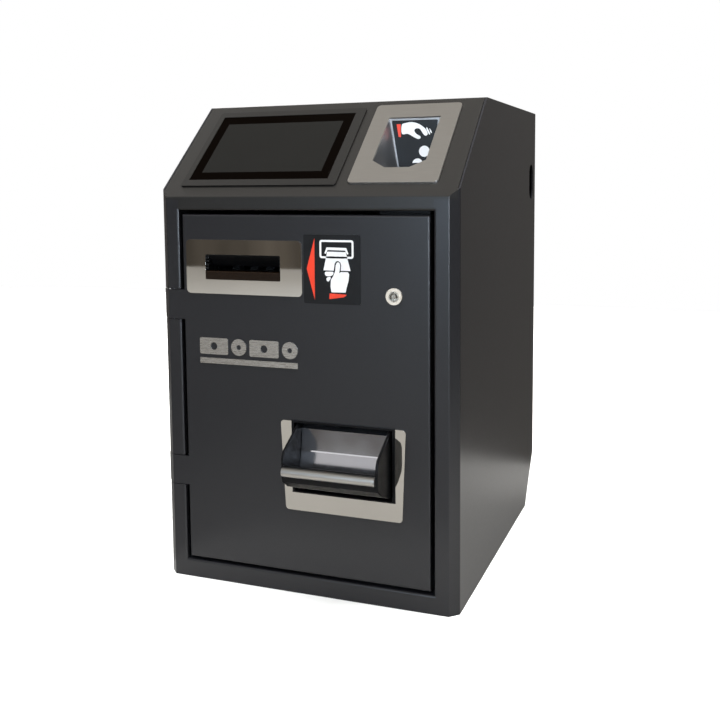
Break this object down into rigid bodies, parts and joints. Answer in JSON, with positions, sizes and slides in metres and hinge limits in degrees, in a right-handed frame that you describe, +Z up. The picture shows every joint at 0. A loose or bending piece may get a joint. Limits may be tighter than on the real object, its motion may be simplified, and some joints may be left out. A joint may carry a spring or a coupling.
{
  "type": "automatic cash machine",
  "caption": "Countertop automatic cash machine: steel cabinet with touch screen and coin funnel on a sloped top, lockable door with note mouth and tilting coin tray.",
  "frame": {"origin": "centre of the four anchor holes, on the underside of the base", "axes": "+Z up, the door faces -Y, +X to the right seen from the front"},
  "size_m": [0.351, 0.4703, 0.549],
  "materials": {
    "cabinet_paint": "fine textured satin powder coat",
    "zinc_steel": "zinc plated",
    "polished_steel": "polished stainless",
    "brushed_steel": "brushed stainless",
    "black_satin": "satin black",
    "black_plastic": "moulded",
    "grey_plastic": "moulded",
    "hopper_plastic": "moulded",
    "screen_glass": "black printed glass",
    "smoked_lens": "smoked",
    "label_film": "satin film",
    "roller_rubber": "matt",
    "drum_plastic": "moulded",
    "disc_plastic": "moulded",
    "cash_box_steel": "painted",
    "circuit_board": "soldermask"
  },
  "bodies": {
    "cabinet": {"left_side_panel": "cabinet_paint", "right_side_panel": "cabinet_paint", "fascia_and_roof": "cabinet_paint", "base_plate": "cabinet_paint", "rear_panel": "cabinet_paint", "connector_panel": "cabinet_paint", "screen_frame": "cabinet_paint", "hinge_brackets": "zinc_steel", "shelf": "zinc_steel", "divider": "zinc_steel", "hopper_stand": "zinc_steel", "validator_bracket": "zinc_steel", "exit_chute": "zinc_steel", "rear_panel_screws": "zinc_steel", "board_standoffs": "zinc_steel", "power_supply": "zinc_steel", "inlet_pins": "zinc_steel", "network_port": "zinc_steel", "usb_ports": "zinc_steel", "coin_bezel": "brushed_steel", "coin_funnel": "brushed_steel", "cash_box_handles": "brushed_steel", "fan_guard": "brushed_steel", "fan_frame": "black_plastic", "power_inlet": "black_plastic", "switch_housing": "black_plastic", "display_module": "black_plastic", "note_validator": "black_plastic", "coin_validator": "black_plastic", "note_store": "grey_plastic", "note_cash_box": "grey_plastic", "coin_motor": "grey_plastic", "coin_hopper": "hopper_plastic", "touch_glass": "screen_glass", "coin_label": "label_film", "coin_cash_box": "cash_box_steel", "controller_board": "circuit_board"},
    "door": {"door_panel": "cabinet_paint", "door_stiffener": "zinc_steel", "hinge_pins": "zinc_steel", "note_bezel": "polished_steel", "note_throat": "black_plastic", "note_lip": "smoked_lens", "note_label": "label_film", "badge": "brushed_steel", "lock_barrel": "brushed_steel", "lock_nut": "zinc_steel", "tray_plate": "polished_steel", "tray_frame": "black_satin", "coin_chute": "polished_steel"},
    "lock_core": {"lock_plug": "brushed_steel", "lock_cam": "zinc_steel"},
    "coin_tray": {"tray_cup": "black_satin", "tray_handle": "brushed_steel"},
    "power_switch": {"switch_rocker": "black_plastic"},
    "fan": {"fan_rotor": "black_plastic"},
    "drum": {"note_drum": "drum_plastic"},
    "upper_roller": {"feed_roller_upper": "roller_rubber"},
    "lower_roller": {"feed_roller_lower": "roller_rubber"},
    "disc": {"coin_disc": "disc_plastic"}
  },
  "joints": [
    {"name": "door_hinge", "type": "hinge", "parent": "cabinet", "child": "door", "pos_m": [-0.163, -0.176, 0.222], "axis": [0, 0, -1], "range_deg": [0, 110]},
    {"name": "lock_turn", "type": "hinge", "parent": "door", "child": "lock_core", "pos_m": [0.1069, -0.185, 0.3371], "axis": [0, 1, 0], "range_deg": [0, 90]},
    {"name": "tray_tilt", "type": "hinge", "parent": "door", "child": "coin_tray", "pos_m": [0.0475, -0.181, 0.1225], "axis": [1, 0, 0], "range_deg": [0, 27], "stiffness_Nm_per_rad": 0.25, "springref_deg": -34.38},
    {"name": "switch_tip", "type": "hinge", "parent": "cabinet", "child": "power_switch", "pos_m": [-0.112, 0.20613, 0.03553], "axis": [1, 0, 0], "range_deg": [0, 22]},
    {"name": "fan_spin", "type": "hinge", "parent": "cabinet", "child": "fan", "pos_m": [0.08, 0.221, 0.4], "axis": [0, 1, 0], "continuous": true},
    {"name": "drum_spin", "type": "hinge", "parent": "cabinet", "child": "drum", "pos_m": [-0.07, -0.067, 0.226], "axis": [1, 0, 0], "continuous": true},
    {"name": "upper_roller_spin", "type": "hinge", "parent": "cabinet", "child": "upper_roller", "pos_m": [-0.0694, -0.133, 0.3688], "axis": [1, 0, 0], "continuous": true},
    {"name": "lower_roller_spin", "type": "hinge", "parent": "cabinet", "child": "lower_roller", "pos_m": [-0.0694, -0.133, 0.3522], "axis": [1, 0, 0], "continuous": true},
    {"name": "disc_spin", "type": "hinge", "parent": "cabinet", "child": "disc", "pos_m": [0.073, -0.045, 0.232], "axis": [0, 0, 1], "continuous": true}
  ],
  "couplings": [
    {"joint": "lower_roller_spin", "follows": "upper_roller_spin", "ratio": -1}
  ]
}
